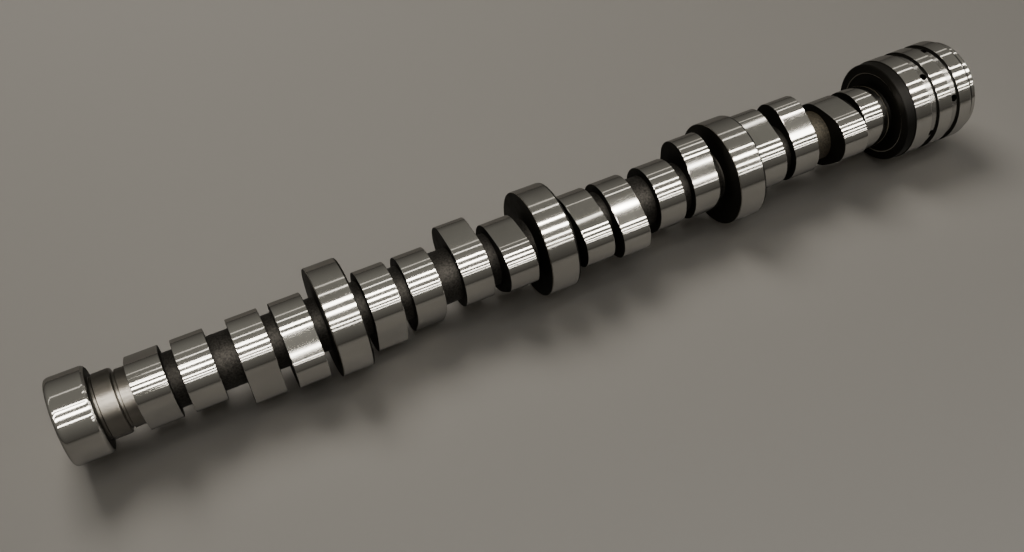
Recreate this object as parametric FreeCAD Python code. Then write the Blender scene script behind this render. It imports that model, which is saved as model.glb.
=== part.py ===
import FreeCAD, Part
import math
import os

# Camshaft for a V8 engine with overhead valves and a hydraulic cam phaser, in millimetres.
# The shaft lies along X with its front end at +X. Z is up. The origin is the centre of the rear journal.

# Driving dimensions of the bearings
bearing_pitch = 113.28
rear_journal_to_fourth = 126.3
front_journal_radius = 29.1
journal_radius_step = 0.2
journal_width = 16.2
rear_journal_radius = 21.8
rear_journal_width = 18.2
rear_journal_chamfer = 1.6
journal_edge_chamfer = 0.4

# Driving dimensions of the shaft body between the bearings
core_radius = 14.0
seal_land_radius = 16.3
seal_land_width = 8.6
relief_width = 1.5
relief_radius = 15.4
front_neck_radius = 14.6
front_relief_radius = 13.8
neck_edge_round = 0.8

# Driving dimensions of the cams
lobe_width = 15.8
pair_centre_from_bay_centre = 24.2
lobe_spacing_in_pair = 21.6
base_circle_radius = 18.3
lobe_lift = 8.1
nose_radius = 14.0

# Driving values of the cam timing, in degrees
firing_order = (1, 8, 4, 3, 6, 5, 7, 2)
cam_angle_per_cylinder = 45.0
lifter_bank_angle = 74.0
lobe_separation = 120.0
resting_roll = 32.0

# Driving dimensions of the front journal and its oil grooves
front_face_gap = 3.5
unground_band_width = 6.2
unground_band_depth = 0.5
rear_rim_chamfer = 0.6
rear_recess_radius = 23.3
rear_recess_depth = 0.8
land_widths = (17.0, 9.2, 8.6)
groove_width = 5.4
groove_depth = 1.3
snout_radius = 27.3
snout_width = 5.0
snout_chamfer = 1.0

# Driving dimensions of the drillings
oil_hole_radius = 2.0
oil_holes_per_groove = 5
first_oil_hole_angle = -52.0
feed_bore_radius = 8.0
bolt_thread_radius = 5.1
bolt_thread_length = 28.0
axial_drilling_circle = 18.0
dowel_hole_radius = 3.0
dowel_hole_depth = 12.0
dowel_circle = 20.0
centre_cone_radius = 4.0
centre_cone_depth = 3.4
centre_drill_radius = 1.6
centre_drill_depth = 7.5

# Derived positions along the shaft
rear_end = -rear_journal_width / 2
rear_journal_front = rear_journal_width / 2
journal_centres = [rear_journal_to_fourth + bay * bearing_pitch for bay in range(3)]
front_bearing_centre = rear_journal_to_fourth + 3 * bearing_pitch
bay_ends = journal_centres + [front_bearing_centre]
half_lobe = lobe_width / 2
last_lobe_front = (front_bearing_centre - bearing_pitch / 2 + pair_centre_from_bay_centre
                   + lobe_spacing_in_pair / 2 + half_lobe)
front_journal_rear = last_lobe_front + front_face_gap
first_groove_start = front_journal_rear + land_widths[0]
second_groove_start = first_groove_start + groove_width + land_widths[1]
front_journal_front = second_groove_start + groove_width + land_widths[2]
front_end = front_journal_front + snout_width
groove_radius = front_journal_radius - groove_depth
band_radius = front_journal_radius - unground_band_depth


def ring(profile):
    """Turn a closed outline of (position along X, radius) points into a solid of revolution."""
    points = [FreeCAD.Vector(x, 0, radius) for x, radius in profile]
    outline = Part.makePolygon(points + [points[0]])
    return Part.Face(outline).revolve(FreeCAD.Vector(0, 0, 0), FreeCAD.Vector(1, 0, 0), 360)


def drill(start, direction, radius, length):
    """A drilled cylinder from a point along a direction."""
    return Part.makeCylinder(radius, length, FreeCAD.Vector(*start), FreeCAD.Vector(*direction))


def around(angle):
    """Unit direction across the shaft, turned from straight up towards -Y."""
    turn = math.radians(angle)
    return FreeCAD.Vector(0, -math.sin(turn), math.cos(turn))


def shaft_body():
    """The turned body: rear journal, seal land, neck and the core up to the front journal."""
    seal_land_start = rear_journal_front + relief_width
    seal_land_front = seal_land_start + seal_land_width
    neck_start = seal_land_front + relief_width
    first_lobe_rear = (bay_ends[0] - bearing_pitch / 2 - pair_centre_from_bay_centre
                       - lobe_spacing_in_pair / 2 - half_lobe)
    neck_front = first_lobe_rear + half_lobe
    return ring([
        (rear_end, 0),
        (rear_end, rear_journal_radius - rear_journal_chamfer),
        (rear_end + rear_journal_chamfer * 0.7, rear_journal_radius - rear_journal_chamfer * 0.3),
        (rear_end + rear_journal_chamfer * 1.6, rear_journal_radius),
        (rear_journal_front - rear_journal_chamfer * 1.3, rear_journal_radius),
        (rear_journal_front - rear_journal_chamfer * 0.4, rear_journal_radius - rear_journal_chamfer * 0.4),
        (rear_journal_front, rear_journal_radius - rear_journal_chamfer * 1.2),
        (rear_journal_front, relief_radius),
        (seal_land_start, relief_radius),
        (seal_land_start, seal_land_radius),
        (seal_land_front - neck_edge_round, seal_land_radius),
        (seal_land_front, seal_land_radius - neck_edge_round),
        (seal_land_front, front_relief_radius),
        (neck_start, front_relief_radius),
        (neck_start, front_neck_radius),
        (neck_front, front_neck_radius),
        (neck_front, core_radius),
        (front_journal_rear + land_widths[0] / 2, core_radius),
        (front_journal_rear + land_widths[0] / 2, 0),
    ])


def middle_journal(centre, radius):
    """One plain bearing journal with its edges broken."""
    rear = centre - journal_width / 2
    front = centre + journal_width / 2
    return ring([
        (rear, 0),
        (rear, radius - journal_edge_chamfer),
        (rear + journal_edge_chamfer, radius),
        (front - journal_edge_chamfer, radius),
        (front, radius - journal_edge_chamfer),
        (front, 0),
    ])


def front_journal():
    """The front journal: recessed rear face, unground band, three lands, two oil grooves and the snout."""
    profile = [
        (front_journal_rear + rear_recess_depth, 0),
        (front_journal_rear + rear_recess_depth, rear_recess_radius),
        (front_journal_rear, rear_recess_radius),
        (front_journal_rear, band_radius - rear_rim_chamfer),
        (front_journal_rear + rear_rim_chamfer, band_radius),
        (front_journal_rear + unground_band_width - unground_band_depth, band_radius),
        (front_journal_rear + unground_band_width, front_journal_radius),
    ]
    for groove_start in (first_groove_start, second_groove_start):
        profile += [
            (groove_start, front_journal_radius),
            (groove_start, groove_radius),
            (groove_start + groove_width, groove_radius),
            (groove_start + groove_width, front_journal_radius),
        ]
    profile += [
        (front_journal_front - journal_edge_chamfer, front_journal_radius),
        (front_journal_front, front_journal_radius - journal_edge_chamfer),
        (front_journal_front, snout_radius),
        (front_end - snout_chamfer, snout_radius),
        (front_end, snout_radius - snout_chamfer),
        (front_end, 0),
    ]
    return ring(profile)


def lobe_blank():
    """One cam, nose up: base circle and nose circle joined by straight flanks that touch both."""
    nose_offset = base_circle_radius + lobe_lift - nose_radius
    flank = math.acos((base_circle_radius - nose_radius) / nose_offset)
    across, up = math.sin(flank), math.cos(flank)
    base_right = FreeCAD.Vector(0, base_circle_radius * across, base_circle_radius * up)
    base_left = FreeCAD.Vector(0, -base_circle_radius * across, base_circle_radius * up)
    base_bottom = FreeCAD.Vector(0, 0, -base_circle_radius)
    nose_right = FreeCAD.Vector(0, nose_radius * across, nose_offset + nose_radius * up)
    nose_left = FreeCAD.Vector(0, -nose_radius * across, nose_offset + nose_radius * up)
    nose_top = FreeCAD.Vector(0, 0, nose_offset + nose_radius)
    edges = [
        Part.Arc(base_left, base_bottom, base_right).toShape(),
        Part.makeLine(base_right, nose_right),
        Part.Arc(nose_right, nose_top, nose_left).toShape(),
        Part.makeLine(nose_left, base_left),
    ]
    outline = Part.Wire(edges)
    return Part.Face(outline).extrude(FreeCAD.Vector(lobe_width, 0, 0))


def lobe_angles():
    """Nose angle of every cam from the rear: each bay carries one cylinder of either bank."""
    angles = []
    for right_cylinder, left_cylinder in ((8, 7), (6, 5), (4, 3), (2, 1)):
        for closes in (True, False):
            for cylinder, bank, exhaust in (
                (right_cylinder, 1, closes),
                (left_cylinder, -1, not closes),
            ):
                turn = cam_angle_per_cylinder * firing_order.index(cylinder)
                turn += bank * lifter_bank_angle + resting_roll
                if exhaust:
                    turn -= lobe_separation
                angles.append(turn % 360)
    return angles


def lobes():
    """All cams in place: four to a bay in two pairs."""
    blank = lobe_blank()
    angles = lobe_angles()
    placed = []
    for bay, bay_end in enumerate(bay_ends):
        bay_centre = bay_end - bearing_pitch / 2
        for pair, side in enumerate((-1, 1)):
            for place, step in enumerate((-0.5, 0.5)):
                centre = bay_centre + side * pair_centre_from_bay_centre + step * lobe_spacing_in_pair
                lobe = blank.copy()
                turn = angles[bay * 4 + pair * 2 + place]
                lobe.rotate(FreeCAD.Vector(0, 0, 0), FreeCAD.Vector(1, 0, 0), turn)
                lobe.translate(FreeCAD.Vector(centre - half_lobe, 0, 0))
                placed.append(lobe)
    return placed


def radial_drillings():
    """Oil holes from both grooves: the first groove feeds the bore, the second the axial drillings."""
    holes = []
    spacing = 360.0 / oil_holes_per_groove
    for groove_start, offset, reach in (
        (first_groove_start, 0.0, feed_bore_radius - oil_hole_radius),
        (second_groove_start, spacing / 2, axial_drilling_circle),
    ):
        centre = groove_start + groove_width / 2
        for number in range(oil_holes_per_groove):
            outward = around(first_oil_hole_angle + offset + number * spacing)
            start = (centre, outward.y * reach, outward.z * reach)
            holes.append(drill(start, outward, oil_hole_radius, front_journal_radius - reach + 1.0))
    return holes


def front_drillings():
    """Bolt bore and thread, axial oil drillings and the dowel hole, all from the front face."""
    spacing = 360.0 / oil_holes_per_groove
    feed_bore_length = front_end - first_groove_start - groove_width / 2 + oil_hole_radius + 1.0
    holes = [drill((front_end + 1.0, 0, 0), (-1, 0, 0), feed_bore_radius, feed_bore_length + 1.0)]
    thread_length = feed_bore_length + bolt_thread_length
    holes.append(drill((front_end + 1.0, 0, 0), (-1, 0, 0), bolt_thread_radius, thread_length + 1.0))
    axial_length = front_end - second_groove_start - groove_width / 2
    for number in range(oil_holes_per_groove):
        place = around(first_oil_hole_angle + (number + 0.5) * spacing) * axial_drilling_circle
        holes.append(drill((front_end + 1.0, place.y, place.z), (-1, 0, 0), oil_hole_radius, axial_length + 1.0))
    place = around(first_oil_hole_angle) * dowel_circle
    holes.append(drill((front_end + 1.0, place.y, place.z), (-1, 0, 0), dowel_hole_radius, dowel_hole_depth + 1.0))
    return holes


def rear_centre():
    """The lathe centre in the rear face: a cone with a small pilot drilling."""
    return ring([
        (rear_end - 1.0, 0),
        (rear_end - 1.0, centre_cone_radius),
        (rear_end, centre_cone_radius),
        (rear_end + centre_cone_depth, centre_drill_radius),
        (rear_end + centre_drill_depth, centre_drill_radius),
        (rear_end + centre_drill_depth, 0),
    ])


def camshaft():
    """The whole shaft as one solid."""
    body = shaft_body()
    joined = [front_journal()]
    for number, centre in enumerate(reversed(journal_centres)):
        joined.append(middle_journal(centre, front_journal_radius - (number + 1) * journal_radius_step))
    joined += lobes()
    solid = body.fuse(joined).removeSplitter()
    return solid.cut(radial_drillings() + front_drillings() + [rear_centre()])


os.makedirs("parts", exist_ok=True)
shape = camshaft()
shape = shape.Solids[0] if len(shape.Solids) == 1 else shape
shape.exportStep("parts/camshaft.step")
print("solids", len(shape.Solids), "valid", shape.isValid(), "volume", round(shape.Volume / 1000, 1), "cm3")
print("box", shape.BoundBox)
print("front journal rear", round(front_journal_rear, 3), "grooves", round(first_groove_start, 3),
      round(second_groove_start, 3), "front", round(front_journal_front, 3), "end", round(front_end, 3))
print("cam angles", [round(angle, 1) for angle in lobe_angles()])
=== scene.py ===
# %% [markdown]
# A camshaft for a V8 engine
#
# The shaft is one piece of steel. It is cast or forged roughly to shape, turned between centres, and then
# ground bright only where it works: the round journals that run in the block and the egg-shaped cams that
# lift the valves. Everything between stays dark and rough. That contrast of mirror and black is its look.
# The imported part is loaded first, because the finished skin has to take its place exactly.

# %% Load the imported part
import math
import bpy
from mathutils import Euler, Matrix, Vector


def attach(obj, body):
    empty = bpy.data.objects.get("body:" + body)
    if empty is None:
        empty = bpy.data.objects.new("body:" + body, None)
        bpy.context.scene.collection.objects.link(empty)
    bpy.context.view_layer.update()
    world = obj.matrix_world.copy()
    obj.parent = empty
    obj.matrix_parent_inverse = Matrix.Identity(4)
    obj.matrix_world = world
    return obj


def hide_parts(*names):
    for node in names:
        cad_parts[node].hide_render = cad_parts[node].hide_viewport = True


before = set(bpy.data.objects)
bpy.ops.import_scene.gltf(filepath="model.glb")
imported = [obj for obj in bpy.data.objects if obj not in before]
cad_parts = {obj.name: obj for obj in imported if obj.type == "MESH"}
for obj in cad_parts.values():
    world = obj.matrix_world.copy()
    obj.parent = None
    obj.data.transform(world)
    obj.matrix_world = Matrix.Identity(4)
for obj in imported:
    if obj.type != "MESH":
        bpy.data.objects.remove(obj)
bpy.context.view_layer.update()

# %% [markdown]
# Sizes of the turned body
#
# The skin, the drilled holes and the finishes all need the same few sizes, so they are written down once.
# Places are in millimetres along the axis from the middle of the rear journal. The names of turned lengths,
# such as REAR_JOURNAL or NECK, stand for their radius.

# %% Sizes along the shaft
MM = 0.001
BAY, FOURTH = 113.28, 126.3
JOURNALS, JOURNAL_HALF = (28.5, 28.7, 28.9), 8.1
CORE = 14.0

REAR_JOURNAL, REAR_HALF = 21.8, 9.1
PILOT, PILOT_END = 1.6, -1.6
CONE_MOUTH, CONE_END = 4.0, -5.7
RELIEF = 15.4
SEAL, SEAL_REAR, SEAL_FRONT = 16.3, 10.6, 19.2
NECK_GROOVE = 13.8
NECK, NECK_REAR, NECK_FRONT = 14.6, 20.7, 34.0

FRONT_JOURNAL, FRONT_REAR, LAND_END = 29.1, 455.9, 501.5
RECESS, RECESS_DEPTH, RIM_WIDTH, RIM_RISE = 23.3, 0.8, 0.35, 0.45
BAND, BAND_END = 28.6, 462.1
GROOVES, GROOVE, GROOVE_FLOOR = (472.9, 487.5), 5.4, 27.8
SNOUT, PAINTED_SHADE_RING_END, END = 27.3, LAND_END + 2.1, 506.5
BOLT_BORE, BOLT_BORE_END = 8.0, 474.0
THREAD, THREAD_START, THREAD_END = 5.1, 471.2, 444.6
print("shaft from", -REAR_HALF, "to", END, "mm")

# %% [markdown]
# The profile
#
# A lathe tool leaves each diameter straight and breaks each edge. The profile is the list of stops that the
# tool passes, each a place and a radius. A small even edge is a quarter circle. A worn or ground corner is
# listed as distances from the point where its two straight lengths would meet.

# %% Helpers for edges and corners
def edge(x, radius, away, size=0.35, steps=3):
    """A quarter-round edge: away is +1 where the face follows the round, -1 where it comes before."""
    turn = [math.radians(90 * i / steps) for i in range(steps + 1)]
    stops = [(x - away * size * (1 - math.sin(t)), radius - size * (1 - math.cos(t))) for t in turn]
    return stops if away > 0 else stops[::-1]


def corner(x, radius, drawn):
    """A listed corner: how far along and how far down each stop lies from the meeting point."""
    return [(x + along, radius - down) for along, down in drawn]


quarter = edge(0, 0, 1)
print("a small edge has", len(quarter), "stops")

# %% [markdown]
# The rear end
#
# The smallest journal is at the rear, with a lathe centre in its face and well-rounded ends that lead it into
# its bearing. A relief, a seal land, a narrow groove and the neck follow.

# %% Rear journal, seal land and neck
profile = [(PILOT_END, PILOT), (CONE_END, PILOT), (-REAR_HALF, CONE_MOUTH)]
profile += corner(-REAR_HALF, REAR_JOURNAL, [
    (0, 1.6), (0.1, 1.1), (0.4, 0.65), (0.95, 0.3), (1.7, 0.08), (2.5, 0)])
profile += corner(REAR_HALF, REAR_JOURNAL, [
    (-2.2, 0), (-1.3, 0.2), (-0.6, 0.65), (-0.15, 1.3), (0, 1.9)])
profile += corner(REAR_HALF, RELIEF, [(0, -0.2), (0.2, 0), (1.2, 0)])
profile += corner(SEAL_REAR, RELIEF, [(0, -0.2)])
profile += corner(SEAL_REAR, SEAL, [(0, 0.35), (0.25, 0)])
profile += corner(SEAL_FRONT, SEAL, [(-0.9, 0), (-0.4, 0.15), (-0.05, 0.5), (0, 0.9)])
profile += corner(SEAL_FRONT, NECK_GROOVE, [(0, -0.4), (0.2, 0)])
profile += corner(NECK_REAR, NECK_GROOVE, [(-0.2, 0), (0, -0.2)])
profile += corner(NECK_REAR, NECK, [(0, 0.2), (0.2, 0)])
profile += corner(NECK_FRONT, NECK, [(0, 0), (0.3, 0.1)]) + [(NECK_FRONT + 0.7, CORE)]
print("stops of the rear end", len(profile))

# %% [markdown]
# The three plain journals
#
# Each grows out of the rough core through a small fillet. Its rear edge is a fine round, painted lighter as a
# painted highlight, and its front edge is broken wider and painted near black, which shows as a thin dark line
# beside the bright ground face: painted shade.

# %% Plain journals
for number, radius in enumerate(JOURNALS):
    middle = FOURTH + number * BAY
    rear, front = middle - JOURNAL_HALF, middle + JOURNAL_HALF
    profile += corner(rear, CORE, [(-0.9, 0), (-0.25, -0.3), (0, -1.0)])
    profile += edge(rear, radius, -1)
    profile += corner(front, radius, [(-0.95, 0), (-0.1, 0.26), (0, 0.5)])
    profile += corner(front, CORE, [(0, -1.0), (0.25, -0.3), (0.9, 0)])
print("stops so far", len(profile))

# %% [markdown]
# The front end
#
# The front journal has a recess turned in its rear side, a band a little below the ground size, three lands
# and two oil grooves. The last stops run back inside the snout, so the bolt bore and its thread drilling
# belong to the same closed skin.

# %% Front journal, snout and bolt bore
profile += corner(FRONT_REAR, CORE, [(-0.1, 0), (RECESS_DEPTH, -0.9)])
profile += corner(FRONT_REAR, RECESS, [(RECESS_DEPTH, 0.2), (0.6, 0), (RIM_WIDTH, 0), (0, -RIM_RISE)])
profile += corner(FRONT_REAR, BAND, [(0, 0.6), (0.2, 0.25), (0.6, 0)])
profile += [(BAND_END - 0.5, BAND), (BAND_END, FRONT_JOURNAL)]
for groove in GROOVES:
    profile += edge(groove, FRONT_JOURNAL, 1, 0.15, 2)
    profile += corner(groove, GROOVE_FLOOR, [(0, -0.2), (0.2, 0)])
    profile += corner(groove + GROOVE, GROOVE_FLOOR, [(-0.2, 0), (0, -0.2)])
    profile += edge(groove + GROOVE, FRONT_JOURNAL, -1, 0.15, 2)
profile += edge(LAND_END, FRONT_JOURNAL, 1, 0.5)
# The snout's first stretch, up to the ring's end, is the same round as the rest; it is painted near black
# later, a painted shade line between the land and the snout.
profile += corner(LAND_END, SNOUT, [(0, -0.2), (0.2, 0)]) + [(PAINTED_SHADE_RING_END, SNOUT)]
profile += corner(END, SNOUT, [(-1.0, 0), (-0.4, 0.2), (-0.05, 0.7), (0, 1.0)])
profile += corner(END, BOLT_BORE, [(0, -0.5), (-0.5, 0)])
profile += [(BOLT_BORE_END, BOLT_BORE), (THREAD_START, THREAD), (THREAD_END, THREAD)]
print("stops of the whole profile", len(profile))

# %% [markdown]
# Straight lengths that shade straight
#
# Smooth shading blends the direction of neighbouring faces, so a bright line on a long cylinder would bend
# where it nears a rounded edge. A stop just inside each end of every straight length keeps the blend there.

# %% Hold the straight lengths
SAME = 1e-6


def held(stops, shortest=0.8, margin=0.12):
    """The stops with an extra one just inside both ends of every straight length."""
    kept = []
    for (x, radius), (next_x, next_radius) in zip(stops, stops[1:]):
        kept.append((x, radius))
        if abs(next_radius - radius) < SAME and next_x - x > shortest:
            kept += [(x + margin, radius), (next_x - margin, radius)]
    return kept + stops[-1:]


profile = held(profile)
print("stops with the held lengths", len(profile))

# %% [markdown]
# Turning the body
#
# One filled circle is extruded along the axis and resized at every stop, as a potter draws up a pot. The
# circle has enough sides for a smooth outline in a close view.

# %% Turn the body
SIDES = 192


def clear():
    """Leave edit mode and deselect everything."""
    if bpy.context.mode != "OBJECT":
        bpy.ops.object.mode_set(mode="OBJECT")
    bpy.ops.object.select_all(action="DESELECT")


def lathe(name, stops):
    """A closed turned skin along X through (place, radius) stops given in millimetres."""
    clear()
    x, radius = stops[0]
    bpy.ops.mesh.primitive_circle_add(
        vertices=SIDES, radius=radius * MM, fill_type="NGON",
        location=(x * MM, 0, 0), rotation=(0, math.pi / 2, 0))
    turned = bpy.context.object
    turned.name = name
    bpy.ops.object.transform_apply(location=True, rotation=True, scale=True)
    bpy.ops.object.mode_set(mode="EDIT")
    bpy.ops.mesh.select_mode(type="FACE")
    bpy.ops.mesh.select_all(action="SELECT")
    for next_x, next_radius in stops[1:]:
        bpy.ops.mesh.extrude_region_move(
            TRANSFORM_OT_translate={"value": ((next_x - x) * MM, 0, 0)})
        if abs(next_radius - radius) > SAME:
            scale = next_radius / radius
            bpy.ops.transform.resize(value=(1, scale, scale), center_override=(next_x * MM, 0, 0))
        x, radius = next_x, next_radius
    bpy.ops.mesh.select_all(action="SELECT")
    bpy.ops.mesh.normals_make_consistent(inside=False)
    bpy.ops.object.mode_set(mode="OBJECT")
    return turned


shaft = lathe("camshaft_ground", profile)
print("turned body", len(shaft.data.vertices), "corners")

# %% [markdown]
# One cam
#
# A cam is a base circle with a smaller nose circle beside it and flanks that touch both. A real flank isn't
# flat: it is part of a very large circle. The skin stretched round a row of cylinders, each just touching that
# large circle from inside, has this shape, so the convex hull of the row makes the cam.

# %% Make one cam and break its edges
BASE, LIFT, NOSE, WIDTH = 18.3, 8.1, 14.0, 15.8
FLANK = 95.0
REACH = BASE + LIFT - NOSE
ROW, FLANK_SIDES = 7, 480
FLAT_DEGREES, SHARP_DEGREES = 0.3, 60
BROKEN = 0.3


def inside_flank(height):
    """Radius of a circle, at this height above the base circle's centre, that touches both flanks."""
    up = (REACH ** 2 + (FLANK - BASE) ** 2 - (FLANK - NOSE) ** 2) / (2 * REACH)
    out = math.sqrt((FLANK - BASE) ** 2 - up ** 2)
    return FLANK - math.hypot(height - up, out)


def one_cam(name):
    """A cam with its nose straight up and its middle at the origin."""
    clear()
    bpy.ops.mesh.primitive_cylinder_add(
        vertices=SIDES, radius=BASE * MM, depth=WIDTH * MM, rotation=(0, math.pi / 2, 0))
    cam = bpy.context.object
    cam.name = name
    bpy.ops.object.transform_apply(location=True, rotation=True, scale=True)
    bpy.ops.object.mode_set(mode="EDIT")
    for step in range(1, ROW + 1):
        height = REACH * step / ROW
        bpy.ops.mesh.primitive_cylinder_add(
            vertices=SIDES if step == ROW else FLANK_SIDES, radius=inside_flank(height) * MM,
            depth=WIDTH * MM, location=(0, 0, height * MM), rotation=(0, math.pi / 2, 0))
    bpy.ops.mesh.select_all(action="SELECT")
    bpy.ops.mesh.convex_hull()
    bpy.ops.mesh.select_all(action="SELECT")
    bpy.ops.mesh.dissolve_limited(angle_limit=math.radians(FLAT_DEGREES))
    bpy.ops.mesh.normals_make_consistent(inside=False)
    bpy.ops.object.mode_set(mode="OBJECT")
    soft = cam.modifiers.new("broken_edge", "BEVEL")
    soft.width, soft.segments = BROKEN * MM, 2
    soft.limit_method, soft.angle_limit = "ANGLE", math.radians(SHARP_DEGREES)
    bpy.ops.object.modifier_apply(modifier=soft.name)
    return cam


first_cam = one_cam("cam_shape")
print("one cam", len(first_cam.data.vertices), "corners")

# %% [markdown]
# The angle of every nose
#
# Each bay carries one cylinder of either bank. A cam's nose angle follows from the firing order, the angle of
# either lifter bank from the middle plane, BANK, and the angle between the opening cam and the closing cam of
# one cylinder, APART. Both are fitted to the noses in the photo. ROLL is how the whole shaft happens to lie.

# %% Nose angles
ORDER = (1, 8, 4, 3, 6, 5, 7, 2)
BANK, APART, ROLL = 74.0, 120.0, 32.0
FIRING_STEP = 45


def nose_angles():
    """Nose angles from the rear, in degrees from straight up towards the viewer's side."""
    angles = []
    for right, left in ((8, 7), (6, 5), (4, 3), (2, 1)):
        for closes in (True, False):
            for cylinder, bank, late in ((right, 1, closes), (left, -1, not closes)):
                firing = FIRING_STEP * ORDER.index(cylinder)
                angles.append(firing + bank * BANK + ROLL - (APART if late else 0))
    return angles


print("nose angles", [angle % 360 for angle in nose_angles()])

# %% [markdown]
# Sixteen cams
#
# The one cam is copied, each copy with its own mesh, turned to its angle and moved to its place. The four cams
# of a bay stand in two pairs. All sixteen then become one mesh, so that a single cut can unite them.

# %% Place the cams
PAIR_OUT, CAM_OUT = 24.2, 10.8

cams = []
for number, angle in enumerate(nose_angles()):
    bay, place = divmod(number, 4)
    bay_middle = FOURTH + (bay - 0.5) * BAY
    pair = -PAIR_OUT if place < 2 else PAIR_OUT
    middle = bay_middle + pair + (-CAM_OUT if place % 2 == 0 else CAM_OUT)
    cam = first_cam.copy()
    cam.data = first_cam.data.copy()
    cam.name = "cam_%02d" % (number + 1)
    bpy.context.collection.objects.link(cam)
    cam.rotation_euler = (math.radians(angle), 0, 0)
    cam.location = (middle * MM, 0, 0)
    cams.append(cam)
clear()
first_cam.select_set(True)
bpy.ops.object.delete()
for cam in cams:
    cam.select_set(True)
bpy.context.view_layer.objects.active = cams[0]
bpy.ops.object.join()
bpy.ops.object.transform_apply(location=True, rotation=True, scale=True)
cams = bpy.context.object
print("all cams", len(cams.data.vertices), "corners")

# %% [markdown]
# The drills
#
# Oil holes go through the floor of either groove, five to a groove. Those of the rear groove reach the bolt
# bore. Those of the front groove meet five oil ways that enter from the front face. A dowel hole beside them
# sets the angle of what is bolted on. Each drill is a plain cylinder that is cut away later.

# %% Set up the drills
OIL_HOLE, OIL_HOLES, FIRST_HOLE = 2.0, 5, -52
SPACING = 360 // OIL_HOLES
FROM_AXIS, LONG, SHORT = 6, 30, 20
WAY_CIRCLE, WAY, WAY_SIDES = 18, 2.01, 28
DOWEL_HOLE, DOWEL_CIRCLE, DOWEL_DEPTH = 3.0, 20, 12


def cutter(start, direction, radius, length, sides=32):
    """A drill standing at start and reaching along direction, in millimetres."""
    clear()
    aim = Vector(direction).normalized()
    bpy.ops.mesh.primitive_cylinder_add(
        vertices=sides, radius=radius * MM, depth=length * MM,
        location=(Vector(start) + aim * length / 2) * MM, rotation=aim.to_track_quat("Z", "Y").to_euler())
    bpy.ops.object.transform_apply(location=True, rotation=True, scale=True)
    return bpy.context.object


def across(angle):
    """Unit direction across the shaft at an angle from straight up towards the viewer's side."""
    turn = math.radians(angle)
    return Vector((0, -math.sin(turn), math.cos(turn)))


drills = []
rear_hole, front_hole = [Vector((groove + GROOVE / 2, 0, 0)) for groove in GROOVES]
for number in range(OIL_HOLES):
    first = across(FIRST_HOLE + SPACING * number)
    second = across(FIRST_HOLE + SPACING * number + SPACING // 2)
    drills.append(cutter(rear_hole + first * FROM_AXIS, first, OIL_HOLE, LONG))
    drills.append(cutter(front_hole + second * WAY_CIRCLE, second, OIL_HOLE, SHORT))
    drills.append(cutter(second * WAY_CIRCLE + front_hole, (1, 0, 0), WAY, LONG, WAY_SIDES))
dowel = Vector((END - DOWEL_DEPTH, 0, 0)) + across(FIRST_HOLE) * DOWEL_CIRCLE
drills.append(cutter(dowel, (1, 0, 0), DOWEL_HOLE, SHORT))
print("drills", len(drills))

# %% [markdown]
# Joining and drilling
#
# The cams grow out of the core in one casting, so they are united with it. The drills are then taken out one
# after another with exact cuts, which keep the thin crossings of the oil ways clean.

# %% Unite the cams with the body and drill the oil ways
def combine(target, other, how):
    """Apply one exact boolean to target and remove the other object."""
    clear()
    target.select_set(True)
    bpy.context.view_layer.objects.active = target
    step = target.modifiers.new("step", "BOOLEAN")
    step.operation, step.object, step.solver = how, other, "EXACT"
    bpy.ops.object.modifier_apply(modifier=step.name)
    clear()
    other.select_set(True)
    bpy.ops.object.delete()


combine(shaft, cams, "UNION")
for drill in drills:
    combine(shaft, drill, "DIFFERENCE")
print("joined and drilled", len(shaft.data.vertices), "corners", len(shaft.data.polygons), "faces")

# %% [markdown]
# Clean skin and smooth shading
#
# A ground cylinder is smooth to the eye, so its sides share their normals while every real edge stays crisp.

# %% Merge doubles and shade
SMOOTH_DEGREES = 20

clear()
shaft.select_set(True)
bpy.context.view_layer.objects.active = shaft
bpy.ops.object.mode_set(mode="EDIT")
bpy.ops.mesh.select_all(action="SELECT")
bpy.ops.mesh.remove_doubles(threshold=SAME)
bpy.ops.mesh.normals_make_consistent(inside=False)
bpy.ops.object.mode_set(mode="OBJECT")
bpy.ops.object.shade_smooth_by_angle(angle=math.radians(SMOOTH_DEGREES))
print("clean skin", len(shaft.data.vertices), "corners")

# %% [markdown]
# Shared surface effects
#
# Three effects serve every finish: fine lines that a grinding wheel or a turning tool leaves round the shaft,
# broad smears of oil and handling, and a coarse pitted skin. Each is a node group. The smears and the skin
# also give a roughness between two values that each finish states for itself.

# %% Helpers for node groups
WEAR_LOW, WEAR_HIGH = 0.3, 0.7


def group(name, inputs, outputs):
    """An empty shader node group with float sockets and an object coordinate node inside."""
    tree = bpy.data.node_groups.new(name, "ShaderNodeTree")
    for label in inputs:
        tree.interface.new_socket(label, in_out="INPUT", socket_type="NodeSocketFloat")
    for label in outputs:
        tree.interface.new_socket(label, in_out="OUTPUT", socket_type="NodeSocketFloat")
    given = tree.nodes.new("NodeGroupInput")
    place = tree.nodes.new("ShaderNodeTexCoord")
    out = tree.nodes.new("NodeGroupOutput")
    return tree, given, place, out


def noise(tree, place, scale, stretch, detail=4.0, roughness=0.6):
    """Noise over object coordinates with its own stretch along each axis."""
    mapping = tree.nodes.new("ShaderNodeMapping")
    mapping.inputs["Scale"].default_value = stretch
    tree.links.new(place.outputs["Object"], mapping.inputs["Vector"])
    tex = tree.nodes.new("ShaderNodeTexNoise")
    tex.inputs["Scale"].default_value = scale
    tex.inputs["Detail"].default_value = detail
    tex.inputs["Roughness"].default_value = roughness
    tree.links.new(mapping.outputs["Vector"], tex.inputs["Vector"])
    return tex.outputs["Fac"]


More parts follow.
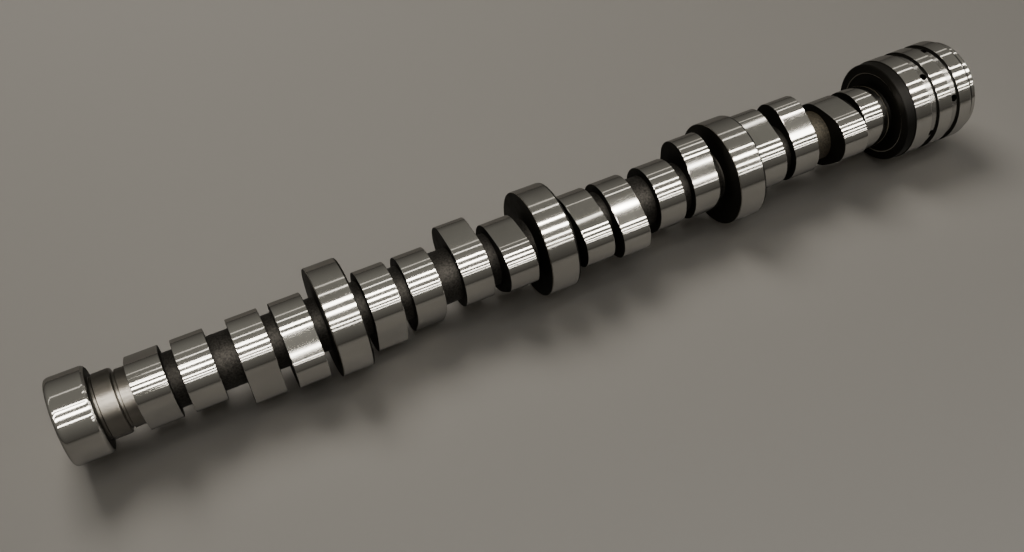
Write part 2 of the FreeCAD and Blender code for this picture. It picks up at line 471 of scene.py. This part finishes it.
def roughness_from(tree, given, mask, out):
    """Map a mask to the roughness between the group's two inputs."""
    node = tree.nodes.new("ShaderNodeMapRange")
    node.inputs["From Min"].default_value = WEAR_LOW
    node.inputs["From Max"].default_value = WEAR_HIGH
    tree.links.new(given.outputs["Smoothest"], node.inputs["To Min"])
    tree.links.new(given.outputs["Roughest"], node.inputs["To Max"])
    tree.links.new(mask, node.inputs["Value"])
    tree.links.new(node.outputs["Result"], out.inputs["Roughness"])


print("a mask from", WEAR_LOW, "to", WEAR_HIGH, "spans a finish's whole roughness")

# %% [markdown]
# The three groups
#
# The tool lines are noise that is stretched nearly into rings, because the shaft turns under the tool. The
# smears are longer along the shaft, the way a hand wipes it. The skin's grain is even in every direction.

# %% Build the groups
EVEN = (1, 1, 1)

lines_tree, given, place, out = group("tool_lines", [], ["Height"])
rings = noise(lines_tree, place, scale=900, stretch=(1, 0.02, 0.02), detail=3)
lines_tree.links.new(rings, out.inputs["Height"])

smear_tree, given, place, out = group("smears", ["Smoothest", "Roughest"], ["Broad", "Roughness"])
broad = noise(smear_tree, place, scale=22, stretch=EVEN, detail=5)
streaks = noise(smear_tree, place, scale=60, stretch=(0.35, 2.2, 2.2), detail=5, roughness=0.7)
smear_tree.links.new(broad, out.inputs["Broad"])
roughness_from(smear_tree, given, streaks, out)

skin_tree, given, place, out = group("rough_skin", ["Smoothest", "Roughest"], ["Pits", "Patches", "Roughness"])
pits = noise(skin_tree, place, scale=1300, stretch=EVEN, detail=5, roughness=0.7)
patches = noise(skin_tree, place, scale=1000, stretch=EVEN, detail=4, roughness=0.7)
skin_tree.links.new(pits, out.inputs["Pits"])
skin_tree.links.new(patches, out.inputs["Patches"])
roughness_from(skin_tree, given, pits, out)
print("groups", lines_tree.name, smear_tree.name, skin_tree.name)

# %% [markdown]
# How a finish is made
#
# Every finish is one Principled surface whose colour runs between a dark and a light tone. A machined finish
# takes its tone and roughness from the smears and its relief from the tool lines. A rough one takes all three
# from the skin.

# %% Helper for a finish
DARK_TO, LIGHT_FROM = 0.35, 0.68


def finish(name, dark, light, rough, metallic, strength, distance, skin=False, gloss=0.5):
    """A steel finish: two tones, two roughnesses, and a bump of this strength and distance in millimetres."""
    material = bpy.data.materials.new(name)
    material.use_nodes = True
    tree = material.node_tree
    shader = tree.nodes["Principled BSDF"]
    shader.inputs["Metallic"].default_value = metallic
    shader.inputs["Specular IOR Level"].default_value = gloss
    wear = tree.nodes.new("ShaderNodeGroup")
    wear.node_tree = skin_tree if skin else smear_tree
    wear.inputs["Smoothest"].default_value, wear.inputs["Roughest"].default_value = rough
    tree.links.new(wear.outputs["Roughness"], shader.inputs["Roughness"])
    ramp = tree.nodes.new("ShaderNodeValToRGB")
    low, high = ramp.color_ramp.elements
    low.position, high.position = DARK_TO, LIGHT_FROM
    low.color, high.color = (*dark, 1), (*light, 1)
    tree.links.new(wear.outputs["Patches" if skin else "Broad"], ramp.inputs["Fac"])
    tree.links.new(ramp.outputs["Color"], shader.inputs["Base Color"])
    relief = tree.nodes.new("ShaderNodeBump")
    relief.inputs["Strength"].default_value = strength
    relief.inputs["Distance"].default_value = distance * MM
    if skin:
        tree.links.new(wear.outputs["Pits"], relief.inputs["Height"])
    else:
        lines = tree.nodes.new("ShaderNodeGroup")
        lines.node_tree = lines_tree
        tree.links.new(lines.outputs["Height"], relief.inputs["Height"])
    tree.links.new(relief.outputs["Normal"], shader.inputs["Normal"])
    return material


print("a finish mixes", smear_tree.name, "or", skin_tree.name, "into one surface")

# %% [markdown]
# Seven finishes
#
# Ground steel is a near mirror with faint lines round it. The core is dark oxide over a coarse skin, brown in
# one place. The cams' sides and the front journal's rear side are turned but never polished; their near-black
# tone is partly that dull steel and partly painted shade, and the same finish paints dark shade lines at the
# journals' front edges and round the snout. The neck and the seal land are satin from the turning tool, and a
# few edges take a lighter dull finish, a painted highlight along them.

# %% Materials
ground = finish("ground_steel", dark=(0.46, 0.445, 0.415), light=(0.54, 0.525, 0.49),
                rough=(0.06, 0.11), metallic=1.0, strength=0.045, distance=0.02)
core = finish("dark_core", dark=(0.010, 0.009, 0.0075), light=(0.050, 0.046, 0.040),
              rough=(0.42, 0.65), metallic=0.6, strength=0.7, distance=0.15, skin=True, gloss=0.25)
# The near-black side finish is partly the unpolished steel's own tone and partly painted shade.
side = finish("dark_side_and_painted_shade", dark=(0.006, 0.0055, 0.004), light=(0.014, 0.0125, 0.0095),
              rough=(0.40, 0.55), metallic=0.2, strength=0.15, distance=0.03, gloss=0.12)
satin = finish("satin_ground", dark=(0.34, 0.33, 0.31), light=(0.44, 0.425, 0.40),
               rough=(0.14, 0.22), metallic=1.0, strength=0.15, distance=0.02)
brown = finish("brown_core", dark=(0.020, 0.016, 0.009), light=(0.115, 0.095, 0.058),
               rough=(0.50, 0.68), metallic=0.4, strength=0.7, distance=0.15, skin=True)
neck = finish("turned_neck", dark=(0.13, 0.12, 0.105), light=(0.21, 0.197, 0.175),
              rough=(0.26, 0.36), metallic=1.0, strength=0.2, distance=0.03)
# Painted highlight: a lighter, dull finish for a few edges, standing in for the bright lines along them.
worn = finish("painted_edge_highlight", dark=(0.24, 0.22, 0.18), light=(0.40, 0.375, 0.32),
              rough=(0.45, 0.60), metallic=0.4, strength=0.2, distance=0.03)
FINISHES = (ground, core, side, satin, brown, neck, worn)
GROUND, ROUGH, SIDE_AND_PAINTED_SHADE, SATIN, BROWN, TURNED, PAINTED_EDGE_HIGHLIGHT = range(len(FINISHES))
print("finishes", [material.name for material in FINISHES])

# %% [markdown]
# Finish by place
#
# What the grinding wheel touched is found by place: the outside of the journals and cams. Faces across the
# axis are sides, and what lies at the core's radius is left rough. The few exceptions at the ends and round
# the front journal are tested first.

# %% Give every face its finish
FIRST_CAM = 26.8
LAST_GAP, GAP_HALF = FOURTH + 2.5 * BAY, 6
REAR_SKIN, NECK_SKIN, CAM_SKIN, BAND_SKIN = 19.5, 17.0, 17.5, 28.0
LEVEL, STEEP, ACROSS = 0.5, 0.6, 0.95


def finish_at(x, radius, lean):
    """The finish of a face, from its place in millimetres and how far its normal leans along the shaft."""
    slope = abs(lean)
    # Painted highlight: the rear rounds of the plain journals and the rim of the front recess take the lighter
    # dull edge finish, which shows as bright lines.
    if NECK_REAR < x < FRONT_REAR and radius > BAND_SKIN and -ACROSS < lean < -STEEP:
        return PAINTED_EDGE_HIGHLIGHT
    if FRONT_REAR < x < FRONT_REAR + RIM_WIDTH and RECESS < radius < RECESS + RIM_RISE:
        return PAINTED_EDGE_HIGHLIGHT
    # Painted shade: the front journal's band and rear side take the near-black side finish, partly painted
    # shade, and the snout's first stretch is painted near black as a shade line.
    if FRONT_REAR < x < BAND_END and radius > BAND_SKIN or LAND_END < x < PAINTED_SHADE_RING_END and radius < BAND_SKIN:
        return SIDE_AND_PAINTED_SHADE
    if GROOVES[0] < x < LAND_END and GROOVE_FLOOR - 0.8 < radius < GROOVE_FLOOR + 0.7 and slope < LEVEL:
        return SATIN
    if x < 0.1 - REAR_HALF or x > END - 0.02:
        return SATIN
    if x < REAR_HALF - 0.1 and radius > REAR_SKIN:
        return GROUND if slope < LEVEL else SATIN
    if x < FIRST_CAM and radius < NECK_SKIN:
        return TURNED
    # The cams' sides take the near-black side finish; on the journals' broken front edges the same finish is a
    # painted dark line, painted shade.
    if slope > STEEP or (slope > 0.2 and BAND_SKIN < radius < JOURNALS[-1]):
        return SATIN if x > LAND_END - 1 else SIDE_AND_PAINTED_SHADE
    if radius < CORE + 0.8:
        return BROWN if abs(x - LAST_GAP) < GAP_HALF else ROUGH
    return GROUND if radius > CAM_SKIN else SIDE_AND_PAINTED_SHADE


mesh = shaft.data
for material in FINISHES:
    mesh.materials.append(material)
counts = [0] * len(FINISHES)
for face in mesh.polygons:
    from_axis = math.hypot(face.center.y, face.center.z)
    face.material_index = finish_at(face.center.x / MM, from_axis / MM, face.normal.x)
    counts[face.material_index] += 1
print("faces of each finish", counts)

# %% [markdown]
# Place in the library part
#
# The shaft rides on the part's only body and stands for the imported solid.

# %% Bind the piece
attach(shaft, "root")
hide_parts("camshaft")

# %% [markdown]
# The surface
#
# The shaft lies on a plain pale surface that is matt to the eye. For rays reflected off the steel the surface
# is painted a darker colour, a painted shade in the reflections, so that the lower half of each journal falls
# off to a deep tone below its bright lines.

# %% Floor
SEEN = (0.42, 0.397, 0.362, 1)
PAINTED_DARK_IN_REFLECTIONS = (0.17, 0.16, 0.145, 1)

clear()
bpy.ops.mesh.primitive_plane_add(size=6.0, location=(0.25, 0, -FRONT_JOURNAL * MM))
floor = bpy.context.object
floor.name = "floor"
pale = bpy.data.materials.new("pale_surface")
pale.use_nodes = True
pale_shader = pale.node_tree.nodes["Principled BSDF"]
# Painted shade in reflections: rays reflected off the steel see the floor in the darker colour, so the floor
# looks darker in the steel than it is.
tone = pale.node_tree.nodes.new("ShaderNodeMix")
tone.data_type = "RGBA"
tone.inputs["A"].default_value = SEEN
tone.inputs["B"].default_value = PAINTED_DARK_IN_REFLECTIONS
floor_path = pale.node_tree.nodes.new("ShaderNodeLightPath")
pale.node_tree.links.new(floor_path.outputs["Is Glossy Ray"], tone.inputs["Factor"])
pale.node_tree.links.new(tone.outputs["Result"], pale_shader.inputs["Base Color"])
pale_shader.inputs["Roughness"].default_value = 0.6
floor.data.materials.append(pale)

# %% [markdown]
# Long lights overhead
#
# Polished steel shows what is around it. Eight long tubes run above the shaft, so every ground surface carries
# the same few bright lines along it. Each is placed by the angle at which its line appears on a journal. They
# are left out of matt surfaces, where so many lamps would wash out the shadow.

# %% Tubes
TUBE_COLOUR = (1.0, 0.95, 0.87)
TUBE_DISTANCE = 1.4


def tube(name, angle, spread, glow, start, end, yaw=0.0):
    """A long lamp at an angle from straight up towards the viewer's side, as wide as spread in degrees."""
    length = end - start
    width = 2 * TUBE_DISTANCE * math.tan(math.radians(spread / 2))
    data = bpy.data.lights.new(name, "AREA")
    data.shape = "RECTANGLE"
    data.size, data.size_y = length, width
    data.energy = glow * math.pi * length * width
    data.color = TUBE_COLOUR
    lamp = bpy.data.objects.new(name, data)
    lamp.visible_diffuse = False
    lamp.location = Vector(((start + end) / 2, 0, 0)) + across(angle) * TUBE_DISTANCE
    lamp.rotation_euler = Euler((math.radians(angle), 0, math.radians(yaw)))
    bpy.context.collection.objects.link(lamp)


tube("tube_wide_1", angle=7.4, spread=2.2, glow=21.0, start=-1.0, end=3.0)
tube("tube_wide_1b", angle=14.2, spread=4.2, glow=21.0, start=-1.4, end=0.9, yaw=9.0)
tube("tube_wide_2", angle=25.6, spread=6.2, glow=21.0, start=-1.0, end=3.0, yaw=3.0)
tube("tube_low_1", angle=42.3, spread=2.8, glow=18.0, start=-1.0, end=3.0, yaw=4.0)
tube("tube_low_2", angle=53.8, spread=1.6, glow=18.0, start=-0.04, end=3.0, yaw=-2.0)
tube("tube_low_3", angle=60.4, spread=1.2, glow=10.0, start=-0.04, end=3.0, yaw=-2.0)
tube("tube_far_1", angle=-40.2, spread=2.8, glow=1.2, start=-1.0, end=3.0, yaw=13.0)
tube("tube_far_2", angle=-26.2, spread=2.4, glow=4.7, start=-0.10, end=2.8, yaw=15.0)
print("tubes", len([lamp for lamp in bpy.data.lights if lamp.name.startswith("tube")]))

# %% [markdown]
# One soft light for the shadow
#
# A single round lamp behind the shaft lights the surface and lays a soft shadow towards the viewer. It isn't
# seen in the steel, which has its own bright lines.

# %% Key light
KEY_PLACE, KEY_AIM = Vector((0.10, 0.78, 1.15)), Vector((0.25, 0, 0))

key = bpy.data.lights.new("key", "AREA")
key.shape, key.size = "DISK", 0.70
key.energy = 9.3
key.color = (1.0, 0.97, 0.92)
key_lamp = bpy.data.objects.new("key", key)
key_lamp.visible_glossy = False
key_lamp.location = KEY_PLACE
key_lamp.rotation_euler = (KEY_AIM - KEY_PLACE).to_track_quat("-Z", "Y").to_euler()
bpy.context.collection.objects.link(key_lamp)
print("key light", round((KEY_AIM - KEY_PLACE).length, 2), "m away")

# %% [markdown]
# The room
#
# The steel between the bright lines shows the room, dim near the horizon and a little lighter overhead. Matt
# surfaces get less of this light, which keeps the shadow under the shaft deep.

# %% Room
HORIZON, OVERHEAD = (0.085, 0.080, 0.072, 1), (0.265, 0.258, 0.232, 1)
OVERHEAD_FROM = 0.75
ON_MATT = 0.19

world = bpy.data.worlds.new("room")
bpy.context.scene.world = world
world.use_nodes = True
sky = world.node_tree
back = sky.nodes["Background"]
where = sky.nodes.new("ShaderNodeTexCoord")
parts = sky.nodes.new("ShaderNodeSeparateXYZ")
fade = sky.nodes.new("ShaderNodeValToRGB")
low_sky, high_sky = fade.color_ramp.elements
low_sky.position, high_sky.position = 0.0, OVERHEAD_FROM
low_sky.color, high_sky.color = HORIZON, OVERHEAD
sky.links.new(where.outputs["Generated"], parts.inputs["Vector"])
sky.links.new(parts.outputs["Z"], fade.inputs["Fac"])
sky.links.new(fade.outputs["Color"], back.inputs["Color"])
path = sky.nodes.new("ShaderNodeLightPath")
dim = sky.nodes.new("ShaderNodeMapRange")
dim.inputs["To Min"].default_value, dim.inputs["To Max"].default_value = 1.0, ON_MATT
sky.links.new(path.outputs["Is Diffuse Ray"], dim.inputs["Value"])
sky.links.new(dim.outputs["Result"], back.inputs["Strength"])
print("room light on matt surfaces", ON_MATT)

# %% [markdown]
# The camera
#
# It looks down at the shaft from its rear left, close enough that the near end looks much larger than the far
# one. Its place, turn and lens put every journal where the photograph has it.

# %% Camera
CAMERA_PLACE = (0.07109, -0.31842, 0.40976)
CAMERA_TURN = (39.295, 0.717, -26.260)

view = bpy.data.cameras.new("view")
view.sensor_width = 36.0
view.lens = 36.523
view.clip_start = 0.01
viewer = bpy.data.objects.new("viewer", view)
viewer.location = CAMERA_PLACE
viewer.rotation_euler = Euler([math.radians(angle) for angle in CAMERA_TURN])
bpy.context.collection.objects.link(viewer)
bpy.context.scene.camera = viewer
print("camera lens", round(view.lens, 1), "mm")
